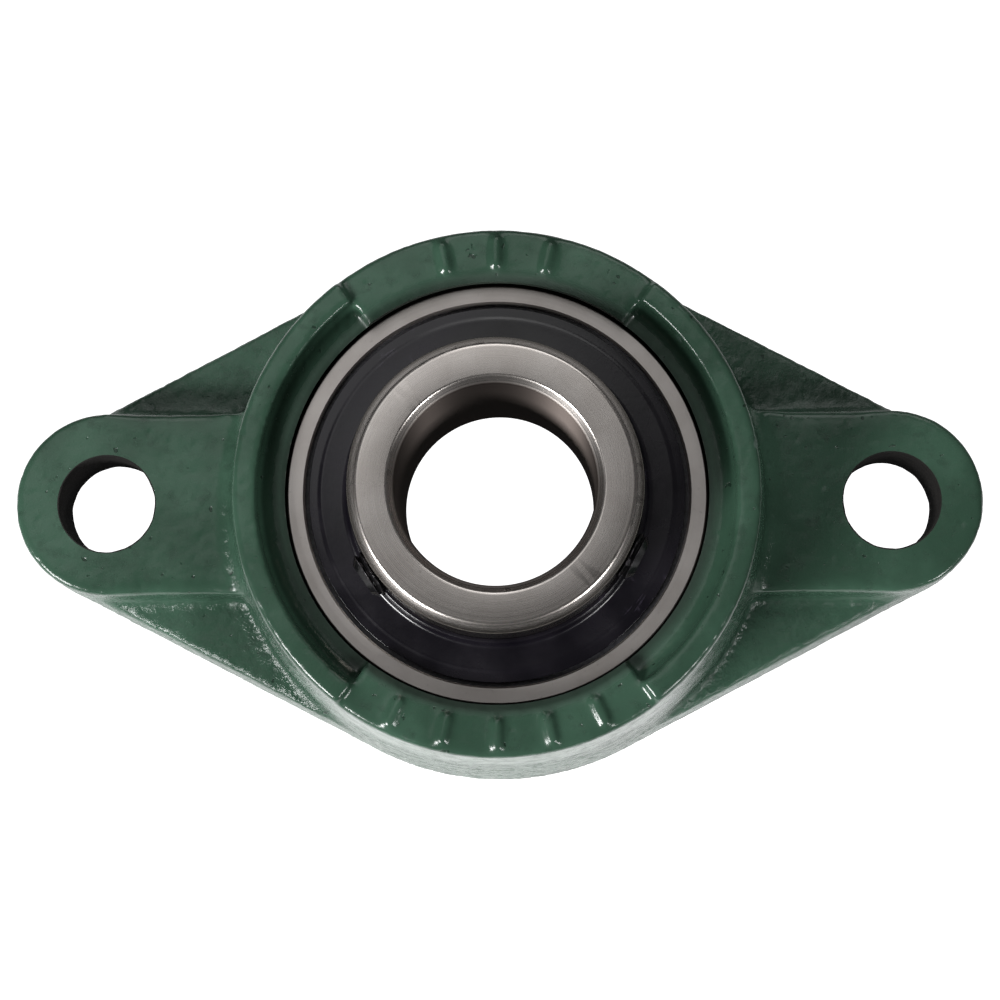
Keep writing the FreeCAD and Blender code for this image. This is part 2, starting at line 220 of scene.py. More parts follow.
def rounded(corners, steps=6):
    """A closed profile of (radius, height, setback) corners, as points with soft corners."""
    points = []
    for i, (r, z, setback) in enumerate(corners):
        here = Vector((r, z))
        if setback == 0:
            points.append(here)
            continue
        to_last = Vector(corners[i - 1][:2]) - here
        to_next = Vector(corners[(i + 1) % len(corners)][:2]) - here
        first = here + to_last.normalized() * min(setback, 0.49 * to_last.length)
        last = here + to_next.normalized() * min(setback, 0.49 * to_next.length)
        for k in range(steps + 1):
            share = k / steps
            points.append(first.lerp(here, share).lerp(here.lerp(last, share), share))
    return points


def lathe(name, points, segments=256):
    """A closed profile turned about the bore axis."""
    bm = bmesh.new()
    angles = [2 * math.pi * k / segments for k in range(segments)]
    turns = [[bm.verts.new((p.x * math.cos(a) * MM, p.x * math.sin(a) * MM, p.y * MM))
              for p in points] for a in angles]
    for k in range(segments):
        here, after = turns[k], turns[(k + 1) % segments]
        for i in range(len(points)):
            j = (i + 1) % len(points)
            bm.faces.new((here[i], here[j], after[j], after[i]))
    return from_bmesh(name, bm)


def solid_lathe(name, points, segments=256):
    """A profile that starts and ends on the bore axis, turned into a closed solid."""
    bm = bmesh.new()
    angles = [2 * math.pi * k / segments for k in range(segments)]
    rings = []
    for r, z in points:
        if r == 0:
            rings.append([bm.verts.new((0, 0, z * MM))])
            continue
        rings.append([bm.verts.new((r * math.cos(a) * MM, r * math.sin(a) * MM, z * MM))
                      for a in angles])
    for low, high in zip(rings, rings[1:]):
        for k in range(segments):
            j = (k + 1) % segments
            corners = [low[k % len(low)], low[j % len(low)]]
            corners += [high[j % len(high)], high[k % len(high)]]
            bm.faces.new(list(dict.fromkeys(corners)))
    return from_bmesh(name, bm)


def read_points(mesh):
    """Vertex positions in millimetres, as an array."""
    points = np.empty(len(mesh.vertices) * 3, np.float32)
    mesh.vertices.foreach_get("co", points)
    return points.reshape(-1, 3).astype(float) / MM


def read_normals(mesh):
    """Vertex normals, as an array."""
    normals = np.empty(len(mesh.vertices) * 3, np.float32)
    mesh.vertex_normals.foreach_get("vector", normals)
    return normals.reshape(-1, 3).astype(float)


def write_points(mesh, points):
    """Sets the vertex positions from an array in millimetres."""
    mesh.vertices.foreach_set("co", (points * MM).astype(np.float32).ravel())
    mesh.update()


def smoothstep(low, high, value):
    """0 below low, 1 above high, and a smooth rise between."""
    t = np.clip((value - low) / (high - low), 0.0, 1.0)
    return t * t * (3 - 2 * t)


class Neighbours:
    """Averages over the neighbours of every vertex."""

    def __init__(self, mesh):
        ends = np.empty(len(mesh.edges) * 2, np.int32)
        mesh.edges.foreach_get("vertices", ends)
        self.a, self.b = ends.reshape(-1, 2).T
        self.count = len(mesh.vertices)
        degree = np.bincount(self.a, minlength=self.count)
        self.degree = degree + np.bincount(self.b, minlength=self.count)

    def average(self, values):
        """The mean of each vertex's neighbours."""
        columns = []
        for k in range(values.shape[1]):
            total = np.bincount(self.a, values[self.b, k], self.count)
            total = total + np.bincount(self.b, values[self.a, k], self.count)
            columns.append(total / self.degree)
        return np.stack(columns, axis=1)

    def relaxed(self, points, strength, rounds):
        """Points moved towards their neighbours, by a strength per vertex, several times."""
        for _ in range(rounds):
            points = points + strength[:, None] * (self.average(points) - points)
        return points


# ---------------------------------------------------------------- the cast housing

# How the skin over the CAD shape is made: its grid, rounds of smoothing and number of faces
VOXEL = 0.42
FILLET_ROUNDS = 40
EDGE_ROUNDS = 12
BAR_ROUNDS = 26
LAST_ROUNDS = 3
WALL_ROUNDS = 6
SKIN_FACES = 186000

# What is left on machined places for the cutters, and how near to them it starts and ends
STOCK = 0.6
STOCK_NEAR, STOCK_FAR = 0.15, 0.7
FACE_NEAR, FACE_FAR = 0.3, 0.9

# How far the cutters reach
PAST = 2.0
BASE_CUT = (90, 60, 9)
HOLE_CUT_TOP = 20
PORT_CUT_END = 50

# Heights of the sand-cast surface's waves, grain and pits, with their features per millimetre
WAVE, WAVE_SCALE = 0.06, 0.09
GRAIN, GRAIN_SCALE = 0.03, 0.45
FINE, FINE_SCALE = 0.035, 1.1
PIT, PIT_SCALE, PIT_FROM = 0.35, 0.7, 0.5
SANDY_EXTRA = 1.5


def bolt_distance(points):
    """Distance of points from the axis of the nearer bolt hole."""
    return np.hypot(np.abs(points[:, 0]) - BOLT_X, points[:, 1])


def axis_distance(points):
    """Distance of points from the bore axis."""
    return np.hypot(points[:, 0], points[:, 1])


def machined(points):
    """1 where the casting was machined: mounting face, seat and openings; 0 where it is as cast."""
    radius = axis_distance(points)
    height = points[:, 2]
    seat = 1 - smoothstep(SEAT_R + FACE_NEAR, SEAT_R + 1.2, np.hypot(radius, height - SEAT_Z))
    bore = 1 - smoothstep(OPENING_R + FACE_NEAR, OPENING_R + FACE_FAR, radius)
    back = 1 - smoothstep(FACE_NEAR, FACE_FAR, height)
    hole = 1 - smoothstep(BOLT_R + FACE_NEAR, BOLT_R + FACE_FAR, bolt_distance(points))
    return np.maximum.reduce([seat, bore, back, hole])


def boss_wall(points):
    """1 on the drafted wall of the boss, between its root and its top edge."""
    height = points[:, 2]
    level = smoothstep(*WALL_FOOT, height) * (1 - smoothstep(*WALL_TOP, height))
    return smoothstep(*WALL_EDGE_R, axis_distance(points)) * level


def boss_root(points):
    """1 round the foot of the boss, which meets the ears and webs in a tight corner."""
    near_boss = 1 - smoothstep(*ROOT_R, axis_distance(points))
    return near_boss * (1 - smoothstep(*ROOT_TOP, points[:, 2]))


def bar_edges(points):
    """1 along the long top edges of the bar between the ears, which the casting rounds more."""
    x, y, z = abs(points[:, 0]), abs(points[:, 1]), points[:, 2]
    along = smoothstep(*BAR_START, x) * (1 - smoothstep(*BAR_END, x))
    return along * smoothstep(*BAR_EDGE, y) * smoothstep(*BAR_TOP, z)


def add_stock(points):
    """Narrows the holes and thickens the base, so that the cutters leave clean edges."""
    radius = axis_distance(points)
    inwards = STOCK * (1 - smoothstep(OPENING_R + STOCK_NEAR, OPENING_R + STOCK_FAR, radius))
    seat = np.hypot(radius, points[:, 2] - SEAT_Z) < SEAT_R + FACE_NEAR
    inwards = np.where(seat & (radius > OPENING_R), STOCK, inwards)
    out = points.copy()
    out[:, :2] *= (1 - inwards / radius)[:, None]
    hole_x = np.sign(points[:, 0]) * BOLT_X
    from_hole = np.stack([points[:, 0] - hole_x, points[:, 1]], axis=1)
    distance = bolt_distance(points)
    inwards = STOCK * (1 - smoothstep(BOLT_R + STOCK_NEAR, BOLT_R + STOCK_FAR, distance))
    out[:, :2] -= from_hole * (inwards / distance)[:, None]
    out[:, 2] -= STOCK * (1 - smoothstep(0.2, FACE_FAR, points[:, 2]))
    return out


def cast_noise(points):
    """Height of the sand-cast surface above its mean: slow waves, grain and a few pits."""
    out = np.empty(len(points))
    height = points[:, 2]
    foot = smoothstep(*EAR_TOP, height) * (1 - smoothstep(*FOOT_TOP, height))
    rough = 1 + SANDY_EXTRA * np.maximum(1 - smoothstep(*WEB_TOP, height), foot)
    for i, p in enumerate(points):
        v = Vector(p)
        wave = noise.noise(v * WAVE_SCALE)
        grain = noise.noise(v * GRAIN_SCALE + Vector((7, 3, 1)))
        fine = noise.noise(v * FINE_SCALE + Vector((1, 5, 9)))
        pit = noise.noise(v * PIT_SCALE + Vector((30, 4, 2)))
        out[i] = WAVE * wave + rough[i] * (GRAIN * grain + FINE * fine)
        out[i] -= PIT * max(0.0, pit - PIT_FROM)
    wall = smoothstep(*WALL_R, axis_distance(points)) * smoothstep(*WALL_FOOT, height)
    return out * (1 - 0.9 * wall)


def seat_cutter():
    """What is turned out of the housing: openings, back bevel and spherical seat."""
    reach = math.sqrt(SEAT_R ** 2 - OPENING_R ** 2)
    steps = 24
    profile = [(0, -PAST), (OPENING_R + SEAT_BEVEL + PAST, -PAST), (OPENING_R, SEAT_BEVEL)]
    for k in range(steps + 1):
        height = -reach + 2 * reach * k / steps
        profile.append((math.sqrt(SEAT_R ** 2 - height ** 2), SEAT_Z + height))
    profile += [(OPENING_R, OPENING_TOP), (0, OPENING_TOP)]
    return solid_lathe("seat_cutter", profile, 320)


def cast_surface(mesh):
    """Gives a remeshed casting its fillets, rounded edges, sand texture and machining stock."""
    points = read_points(mesh)
    cast = 1 - machined(points)
    soft_share = 1 - 0.85 * smoothstep(*UPPER_HALF, points[:, 2])
    soft_share = soft_share * (1 - 0.65 * boss_root(points))
    near = Neighbours(mesh)
    soft = near.relaxed(points, 0.5 * cast * soft_share, FILLET_ROUNDS)
    outwards = ((soft - points) * read_normals(mesh)).sum(axis=1)
    points = points + smoothstep(0.0, 0.06, outwards)[:, None] * (soft - points)
    points = near.relaxed(points, 0.5 * cast * soft_share, EDGE_ROUNDS)
    points = near.relaxed(points, 0.5 * bar_edges(points), BAR_ROUNDS)
    points = near.relaxed(points, 0.5 * cast, LAST_ROUNDS)
    write_points(mesh, points)
    points = points + read_normals(mesh) * (cast_noise(points) * cast)[:, None]
    write_points(mesh, add_stock(points))


def machine_housing(skin):
    """Cuts the seat, mounting face, loading slots, bolt holes and grease port into the skin."""
    reach, width, depth = BASE_CUT
    half_slot = SLOT_WIDTH / 2
    cut(skin, seat_cutter())
    cut(skin, box_piece((-reach, -width, -depth), (reach, width, 0)))
    cut(skin, box_piece((-SLOT_REACH, -half_slot, -PAST), (SLOT_REACH, half_slot, SEAT_Z)))
    for side in (-1, 1):
        cut(skin, cast_hole_piece(side * BOLT_X, BOLT_R, -PAST, HOLE_CUT_TOP))
    cut(skin, prism_piece(64, PORT_R, (0, PORT_FLOOR, PORT_Z), (0, PORT_CUT_END, PORT_Z)))


def make_housing():
    """The housing: the CAD shape cast with fillets and sand texture, then machined."""
    skin = new_object("cast_housing", frame["nodes"]["housing"].data.copy())
    remesh = skin.modifiers.new("remesh", "REMESH")
    remesh.mode = "VOXEL"
    remesh.voxel_size = VOXEL * MM
    apply_modifiers(skin)
    cast_surface(skin.data)
    thin = skin.modifiers.new("thin", "DECIMATE")
    thin.ratio = SKIN_FACES / (2 * len(skin.data.polygons))
    apply_modifiers(skin)
    points = read_points(skin.data)
    points = Neighbours(skin.data).relaxed(points, 0.5 * boss_wall(points), WALL_ROUNDS)
    write_points(skin.data, points)
    machine_housing(skin)
    shade(skin, 38)
    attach(skin, "housing")
    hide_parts("housing")
    return skin


# ---------------------------------------------------------------- rings, slingers and screws

def make_slinger(name):
    """A pressed slinger with soft bends, over the seal."""
    low, high = node_box(name)
    front = 1 if high[2] > SEAT_Z + 5 else -1
    base = low[2] if front == 1 else high[2]
    outer, collar = high[0] - 0.35, high[2] - low[2]
    inside_step, outside_step = SLINGER_STEP_R - 0.9, SLINGER_STEP_R + 0.7
    corners = [(SLINGER_STEP_R, 0, 0.5), (outer, 0, 0.2), (outer, 2 * SLINGER_T - 0.3, 0.1),
               (outside_step, 2 * SLINGER_T - 0.17, 0.2),
               (SLINGER_STEP_R + 0.1, 2 * SLINGER_T, 0.2),
               (INNER_R + SLINGER_T + 0.3, 2 * SLINGER_T, 0.8),
               (INNER_R + SLINGER_T, collar, 0.3), (INNER_R, collar, 0.15),
               (INNER_R, SLINGER_T, 0.3), (inside_step, SLINGER_T, 0.4)]
    points = [Vector((p.x, base + front * p.y)) for p in rounded(corners)]
    piece = lathe("pressed_" + name, points)
    shade(piece)
    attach(piece, "inner")
    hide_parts(name)
    return piece


def screw_line(name):
    """Where a set screw's axis meets the bore axis, and the direction in which it leaves."""
    low, high = node_box(name)
    middle = (low + high) / 2
    outwards = Vector((middle[0], middle[1], 0)).normalized()
    return Vector((0, 0, middle[2])), outwards


def thread_radius(x, share, length, radius):
    """Radius of a screw at a distance from its point, after a share of a turn."""
    phase = (x / THREAD_PITCH + share) % 1
    tooth = min(1.0, max(0.0, 1.35 * abs(2 * phase - 1) - 0.12))
    edge = min(1.0, x / CUP_DEPTH, length - x)
    return min(radius - THREAD_DEPTH * (1 - tooth), radius - 1.15 * (1 - edge))


def threaded_piece(name, length, radius, place):
    """A screw along Z from a cup point at 0, put in a place."""
    sides, rows = 56, 150
    bm = bmesh.new()
    rings = []
    for i in range(rows + 1):
        x = length * i / rows
        ring = []
        for k in range(sides):
            a = 2 * math.pi * k / sides
            r = thread_radius(x, k / sides, length, radius)
            ring.append(bm.verts.new((r * math.cos(a), r * math.sin(a), x)))
        rings.append(ring)
    join_rings(bm, rings)
    cup = bm.verts.new((0, 0, CUP_DEPTH))
    for k in range(sides):
        bm.faces.new((rings[0][(k + 1) % sides], rings[0][k], cup))
    bm.faces.new(rings[-1])
    bmesh.ops.transform(bm, matrix=place, verts=bm.verts)
    return from_bmesh(name, bm)


def make_screw(name):
    """A threaded set screw with a cup point and a hexagon socket."""
    low, high = node_box(name)
    centre, outwards = screw_line(name)
    along = [outwards.dot(v.co) / MM for v in frame["nodes"][name].data.vertices]
    start, end = min(along), max(along)
    place = Matrix.Translation((centre + outwards * start) * MM)
    place = place @ outwards.to_track_quat("Z", "Y").to_matrix().to_4x4() @ Matrix.Scale(MM, 4)
    piece = threaded_piece("threaded_" + name, end - start, (high[2] - low[2]) / 2, place)
    floor = centre + outwards * (end - SOCKET_DEPTH)
    mouth = centre + outwards * (end + PAST)
    cut(piece, prism_piece(6, SOCKET_WIDTH / math.sqrt(3), floor, mouth, SOCKET_TURN))
    shade(piece, 30)
    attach(piece, name.replace("set_screw", "screw"))
    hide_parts(name)
    return piece


def raceway():
    """Points of the groove in the inner ring, from back to front."""
    steps = 16
    floor_r = (BALL_LOW[1] + BALL_HIGH[1]) / 2 - (BALL_HIGH[2] - BALL_LOW[2]) / 2 - RACE_PLAY
    half = math.sqrt(RACE_R ** 2 - (floor_r + RACE_R - INNER_R) ** 2)
    heights = [-half + 2 * half * k / steps for k in range(steps + 1)]
    return [Vector((floor_r + RACE_R - math.sqrt(RACE_R ** 2 - h * h), SEAT_Z + h))
            for h in heights]


def make_inner_ring():
    """The inner ring with softly rounded edges and its two tapped holes."""
    back, front = INNER_LOW[2], INNER_HIGH[2]
    outer_chamfer, front_chamfer, back_chamfer = 1.4, 1.3, 0.65
    outside = rounded([(BORE_R + back_chamfer, back, 0.2), (INNER_R - outer_chamfer, back, 0.4),
                       (INNER_R, back + outer_chamfer, 0.4), (INNER_R, SEAT_Z, 0),
                       (INNER_R, front - outer_chamfer, 0.25),
                       (INNER_R - outer_chamfer, front, 0.45),
                       (BORE_R + front_chamfer, front, 0.3),
                       (BORE_R, front - front_chamfer, 0.35),
                       (BORE_R, back + back_chamfer, 0.2)])
    middle = outside.index(Vector((INNER_R, SEAT_Z)))
    piece = lathe("ground_inner_ring", outside[:middle] + raceway() + outside[middle + 1:], 288)
    for name in ("set_screw_a", "set_screw_b"):
        centre, outwards = screw_line(name)
        cut(piece, prism_piece(64, TAPPED_R, centre + outwards * TAPPED_FROM,
                               centre + outwards * TAPPED_TO))
    shade(piece, 30)
    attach(piece, "inner")
    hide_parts("inner_ring")
    return piece


# ---------------------------------------------------------------- materials

class Tree:
    """Short ways to add nodes to a material."""

    def __init__(self, name):
        self.mat = bpy.data.materials.new(name)
        self.mat.use_nodes = True
        self.nodes = self.mat.node_tree.nodes
        self.links = self.mat.node_tree.links
        self.shader = self.nodes["Principled BSDF"]
        self.place = self.nodes.new("ShaderNodeTexCoord").outputs["Object"]

    def feed(self, socket, value):
        """Links a socket, or sets it to a fixed value."""
        if isinstance(value, bpy.types.NodeSocket):
            self.links.new(value, socket)
        else:
            socket.default_value = value

    def math(self, operation, a, b=0.0):
        """A Math node's result."""
        node = self.nodes.new("ShaderNodeMath")
        node.operation = operation
        self.feed(node.inputs[0], a)
        self.feed(node.inputs[1], b)
        return node.outputs[0]

    def product(self, first, *others):
        """Values multiplied together."""
        for value in others:
            first = self.math("MULTIPLY", first, value)
        return first

    def noise(self, scale, detail=2.0, roughness=0.5, vector=None):
        """A noise value at a scale, in features per metre."""
        node = self.nodes.new("ShaderNodeTexNoise")
        self.links.new(vector or self.place, node.inputs["Vector"])
        node.inputs["Scale"].default_value = scale
        node.inputs["Detail"].default_value = detail
        node.inputs["Roughness"].default_value = roughness
        return node.outputs["Fac"]

    def range(self, value, low, high, to_low=0.0, to_high=1.0):
        """A value mapped smoothly from one range to another."""
        node = self.nodes.new("ShaderNodeMapRange")
        node.interpolation_type = "SMOOTHSTEP"
        self.links.new(value, node.inputs["Value"])
        for name, number in (("From Min", low), ("From Max", high), ("To Min", to_low),
                             ("To Max", to_high)):
            node.inputs[name].default_value = number
        return node.outputs["Result"]

    def band(self, value, start, end, to_low=0.0, to_high=1.0):
        """A length mapped smoothly from a range given in millimetres."""
        return self.range(value, start * MM, end * MM, to_low, to_high)

    def mix(self, share, a, b):
        """Two colours mixed by a share."""
        node = self.nodes.new("ShaderNodeMix")
        node.data_type = "RGBA"
        self.feed(node.inputs["Factor"], share)
        for socket, value in ((node.inputs[6], a), (node.inputs[7], b)):
            self.feed(socket, value if isinstance(value, bpy.types.NodeSocket) else (*value, 1))
        return node.outputs[2]

    def mix_value(self, share, a, b):
        """Two numbers mixed by a share."""
        node = self.nodes.new("ShaderNodeMix")
        self.feed(node.inputs["Factor"], share)
        self.feed(node.inputs[2], a)
        self.feed(node.inputs[3], b)
        return node.outputs[0]

    def bump(self, height, distance, strength=1.0, base=None):
        """A bump from a height, in millimetres."""
        node = self.nodes.new("ShaderNodeBump")
        node.inputs["Strength"].default_value = strength
        node.inputs["Distance"].default_value = distance * MM
        self.links.new(height, node.inputs["Height"])
        if base:
            self.links.new(base, node.inputs["Normal"])
        return node.outputs[0]

    def split(self):
        """X, Y and Z of the object coordinates, in metres."""
        node = self.nodes.new("ShaderNodeSeparateXYZ")
        self.links.new(self.place, node.inputs[0])
        return node.outputs

    def distance(self, a, b):
        """How far away a point is, from its distances along two axes."""
        return self.math("SQRT", self.math("ADD", self.product(a, a), self.product(b, b)))

    def radius(self):
        """Distance from the bore axis, in metres."""
        place = self.split()
        return self.distance(place["X"], place["Y"])

    def edges(self):
        """1 on worn outer edges, 0 on flat faces and in corners."""
        node = self.nodes.new("ShaderNodeNewGeometry")
        return self.range(node.outputs["Pointiness"], 0.53, 0.60)

    def turned_place(self):
        """Coordinates of radius, height and a little of the angle, for turning marks."""
        around = 0.02
        x, y, z = self.split()
        angle = self.math("ARCTAN2", y, x)
        node = self.nodes.new("ShaderNodeCombineXYZ")
        self.links.new(self.radius(), node.inputs[0])
        self.links.new(z, node.inputs[1])
        self.links.new(self.product(angle, around * MM), node.inputs[2])
        return node.outputs[0]

    def finish(self, color, metallic, roughness, normal=None):
        """Sets the shader's main inputs."""
        self.feed(self.shader.inputs["Base Color"], color)
        self.feed(self.shader.inputs["Metallic"], metallic)
        self.feed(self.shader.inputs["Roughness"], roughness)
        if normal:
            self.links.new(normal, self.shader.inputs["Normal"])
        return self.mat


# Colours of the paint, of the painted shade on it, and of what shows where there is no paint: the
# holes' scale, partly painted shade, bare iron, and the seat in painted shade
GREEN_DARK = (0.026, 0.058, 0.038)
GREEN_LIGHT = (0.038, 0.082, 0.055)
GREEN_SPOT = (0.017, 0.038, 0.025)
GREEN_PIT = (0.006, 0.014, 0.009)
GREEN_EDGE = (0.060, 0.110, 0.085)
GREEN_WORN = (0.10, 0.13, 0.115)
RECESS_SHADE = (0.005, 0.013, 0.008)
SCALE_SHADE_DARK = (0.002, 0.002, 0.0015)
SCALE_SHADE_BROWN = (0.007, 0.005, 0.004)
IRON_DARK = (0.20, 0.19, 0.18)
IRON_LIGHT = (0.33, 0.32, 0.31)
SEAT_SHADE = (0.030, 0.026, 0.023)


def enamel_color(t, mottle, pits, worn):
    """Green enamel: cloudy, darker in spots and pits, paler on edges."""
    cloud = t.range(t.noise(70, 3), 0.35, 0.65)
    green = t.mix(cloud, GREEN_DARK, GREEN_LIGHT)
    green = t.mix(t.range(mottle, 0.52, 0.75, 0, 0.5), green, GREEN_SPOT)
    green = t.mix(t.product(pits, 0.7), green, GREEN_PIT)
    green = t.mix(t.product(t.edges(), 0.3), green, GREEN_EDGE)
    return t.mix(t.product(worn, 0.5), green, GREEN_WORN)


def painted_recess_shade(t):
    """Painted shade round the insert, thickest on the floor of the recesses but for the one side
    that light reaches.
    """
    x, y, z = t.split()
    radius = t.radius()
    across = t.math("SUBTRACT", t.product(x, 0.87), t.product(y, 0.5))
    shade_pool = t.product(t.band(radius, 34.4, 36.6, 0.5, 0.72), t.band(radius, 37.4, 38.8, 1, 0),
                     t.band(across, 29, 35, 1, 0), t.band(z, 31.4, 32.6, 1, 0))
    return t.math("MAXIMUM", shade_pool, t.band(radius, 34.2, 36.4, 0.75, 0))


def bare_seat(t):
    """1 in the turned opening and seat, below the floor of the recesses."""
    z = t.split()["Z"]
    radius = t.radius()
    opening = t.product(t.band(radius, OPENING_R + 0.05, OPENING_R + 0.2, 1, 0),
                        t.band(z, 28.9, 29.3, 1, 0))
    seat = t.product(t.band(radius, GROOVE_R + 0.2, GROOVE_R + 0.4, 1, 0),
                     t.band(z, *RECESS_FLOOR, 1, 0))
    return t.math("MAXIMUM", opening, seat)


def bolt_hole(t):
    """1 in the bolt holes."""
    place = t.split()
    from_hole = t.math("SUBTRACT", t.math("ABSOLUTE", place["X"]), BOLT_X * MM)
    return t.band(t.distance(from_hole, place["Y"]), BOLT_R + 0.15, BOLT_R + 0.25, 1, 0)


def sand_height(t):
    """Height of the sand texture: rough on the webs and round the foot of the boss."""
    z = t.split()["Z"]
    radius = t.radius()
    web = t.band(z, 13, 15.5, 1.2, 0)
    foot = t.product(t.band(z, *EAR_TOP), t.band(z, *FOOT_TOP, 1.5, 0.1))
    wall = t.product(t.band(radius, *WALL_R), t.band(z, *WALL_FOOT))
    sandy = t.math("ADD", t.math("MAXIMUM", web, foot), t.mix_value(wall, 0.2, 0.05))
    root = t.product(t.band(radius, 46.6, 48.2, 1, 0), t.band(z, 14, 16, 1, 0))
    lumps = t.product(t.noise(800, 2, 0.6), root, 3.2)
    return t.math("ADD", t.product(t.noise(1500, 4, 0.7), sandy), lumps)


def paint_material():
    """Semi-gloss green enamel over sand-cast iron, dark scale in the holes deepened by painted
    shade, bare machined faces, and painted shade in the recesses and on the seat.
    """
    t = Tree("green_enamel")
    mottle = t.noise(420, 3, 0.6)
    pits = t.range(t.noise(620, 2, 0.5), 0.69, 0.75)
    worn = t.product(t.edges(), t.range(t.noise(240, 3), 0.45, 0.62))
    seat = bare_seat(t)
    hole = bolt_hole(t)
    back = t.band(t.split()["Z"], 0.05, 0.12, 1, 0)
    bare = t.math("MAXIMUM", seat, back)
    # Painted shade in the recesses and round the insert darkens the enamel.
    green = t.mix(painted_recess_shade(t), enamel_color(t, mottle, pits, worn), RECESS_SHADE)
    # The bolt holes' scale is near black: partly the scale's own colour, partly painted shade.
    scale = t.mix(t.noise(900, 3), SCALE_SHADE_DARK, SCALE_SHADE_BROWN)
    # The turned seat and opening get a near-black colour: painted shade of the gap round the
    # insert.
    iron = t.mix(seat, t.mix(t.noise(260, 3), IRON_DARK, IRON_LIGHT), SEAT_SHADE)
    color = t.mix(hole, t.mix(bare, green, iron), scale)
    metallic = t.product(back, t.math("SUBTRACT", 1.0, hole))
    gloss = t.mix_value(t.range(mottle, 0.4, 0.7), 0.17, 0.28)
    gloss = t.math("ADD", gloss, t.product(worn, 0.1))
    gloss = t.math("ADD", gloss, t.band(t.radius(), 35.2, 36.4, 0.3, 0))
    roughness = t.mix_value(hole, t.mix_value(bare, gloss, 0.42), 0.75)
    lines = t.noise(5200, 2, 0.5, vector=t.turned_place())
    normal = t.bump(t.mix_value(bare, sand_height(t), lines), 0.10, 0.8)
    normal = t.bump(pits, -0.10, 0.6, normal)
    t.shader.inputs["Specular IOR Level"].default_value = 0.36
    return t.finish(color, metallic, roughness, normal)


def steel_material(name, dark, light, rough_low, rough_high, marks=0.0004, bore=None, dark_edge=None):
    """Ground steel with fine turning lines and stains, a darker bore and a darker band at an edge:
    painted shade of the gap on the outer ring, a plain darkening on the inner ring.
    """
    t = Tree(name)
    lines = t.noise(5200, 3, 0.6, vector=t.turned_place())
    stain = t.noise(110, 4, 0.6)
    color = t.mix(t.range(stain, 0.3, 0.7), dark, light)
    tint = tuple(0.6 * c for c in dark)
    color = t.mix(t.range(t.noise(900, 3, 0.6), 0.62, 0.8, 0, 0.5), color, tint)
    roughness = t.mix_value(t.range(lines, 0.35, 0.65), rough_low, rough_high)
    roughness = t.math("SUBTRACT", roughness, t.product(t.edges(), 0.05))
    if bore:
        in_bore = t.band(t.radius(), BORE_R + 0.1, BORE_R + 0.6, 1, 0)
        color = t.mix(in_bore, color, bore)
        roughness = t.mix_value(in_bore, roughness, 0.6)
        t.feed(t.shader.inputs["Anisotropic"], t.product(in_bore, 0.9))
        t.shader.inputs["Anisotropic Rotation"].default_value = 0.25
        tangent = t.nodes.new("ShaderNodeTangent")
        tangent.direction_type = "RADIAL"
        tangent.axis = "Z"
        t.links.new(tangent.outputs[0], t.shader.inputs["Tangent"])
    if dark_edge:
        start, end, dark_edge_color = dark_edge
        color = t.mix(t.band(t.radius(), start, end, 0, 0.96), color, dark_edge_color)
    return t.finish(color, 1.0, roughness, t.bump(lines, marks, 0.6))


def black_material(name, color, light, rough_low, rough_high, metallic=0.0, grain=0.02, wear_and_glint=4):
    """Dark coat or rubber, a little uneven and grained, and paler on edges: wear, which on the set
    screws is raised into a painted glint.
    """
    t = Tree(name)
    cloud = t.noise(130, 3)
    tone = t.mix(t.range(cloud, 0.3, 0.7), color, light)
    fine = t.noise(1500, 3, 0.6)
    worn = t.product(t.edges(), t.range(fine, 0.35, 0.65, 0.2, 0.6))
    tone = t.mix(worn, tone, tuple(wear_and_glint * c for c in light))
    roughness = t.mix_value(t.range(cloud, 0.35, 0.65), rough_low, rough_high)
    return t.finish(tone, metallic, roughness, t.bump(fine, grain, 0.5))


def dress(obj, mat):
    """Gives an object one material."""
    obj.data.materials.clear()
    obj.data.materials.append(mat)


def dress_nodes(start, mat):
    """Gives a material to every CAD node whose name starts so."""
    for name, obj in frame["nodes"].items():
        if name.startswith(start):
            for slot in obj.material_slots:
                slot.material = mat


# ---------------------------------------------------------------- stage

CAMERA_LENS = 111.42
CAMERA_PLACE = (0.0089, -0.0524, 0.5253)
CAMERA_TURN_DEGREES = (5.91, 0.99, -0.17)
WHITE_GLOW = 1.2
TABLE_GLOW_NEAR, TABLE_GLOW_FAR = 0.36, 0.07


def add_camera():
    """The camera: nearly straight down the bore, from a little below its axis."""
    data = bpy.data.cameras.new("camera")
    data.sensor_width = 36.0
    data.lens = CAMERA_LENS
    cam = bpy.data.objects.new("camera", data)
    cam.location = CAMERA_PLACE
    cam.rotation_euler = [math.radians(a) for a in CAMERA_TURN_DEGREES]
    bpy.context.scene.collection.objects.link(cam)
    bpy.context.scene.camera = cam


def add_floor(name, size, height, color, emission):
    """A plain floor of a half width, in metres, that glows by a function of its node tree."""
    bm = bmesh.new()
    bmesh.ops.create_grid(bm, x_segments=1, y_segments=1, size=size)
    floor = from_bmesh(name, bm)
    floor.location.z = height
    t = Tree(name)
    t.finish((*color, 1), 0.0, 0.6)
    t.shader.inputs["Emission Color"].default_value = (1, 1, 1, 1)
    t.feed(t.shader.inputs["Emission Strength"], emission(t))
    dress(floor, t.mat)
    return floor


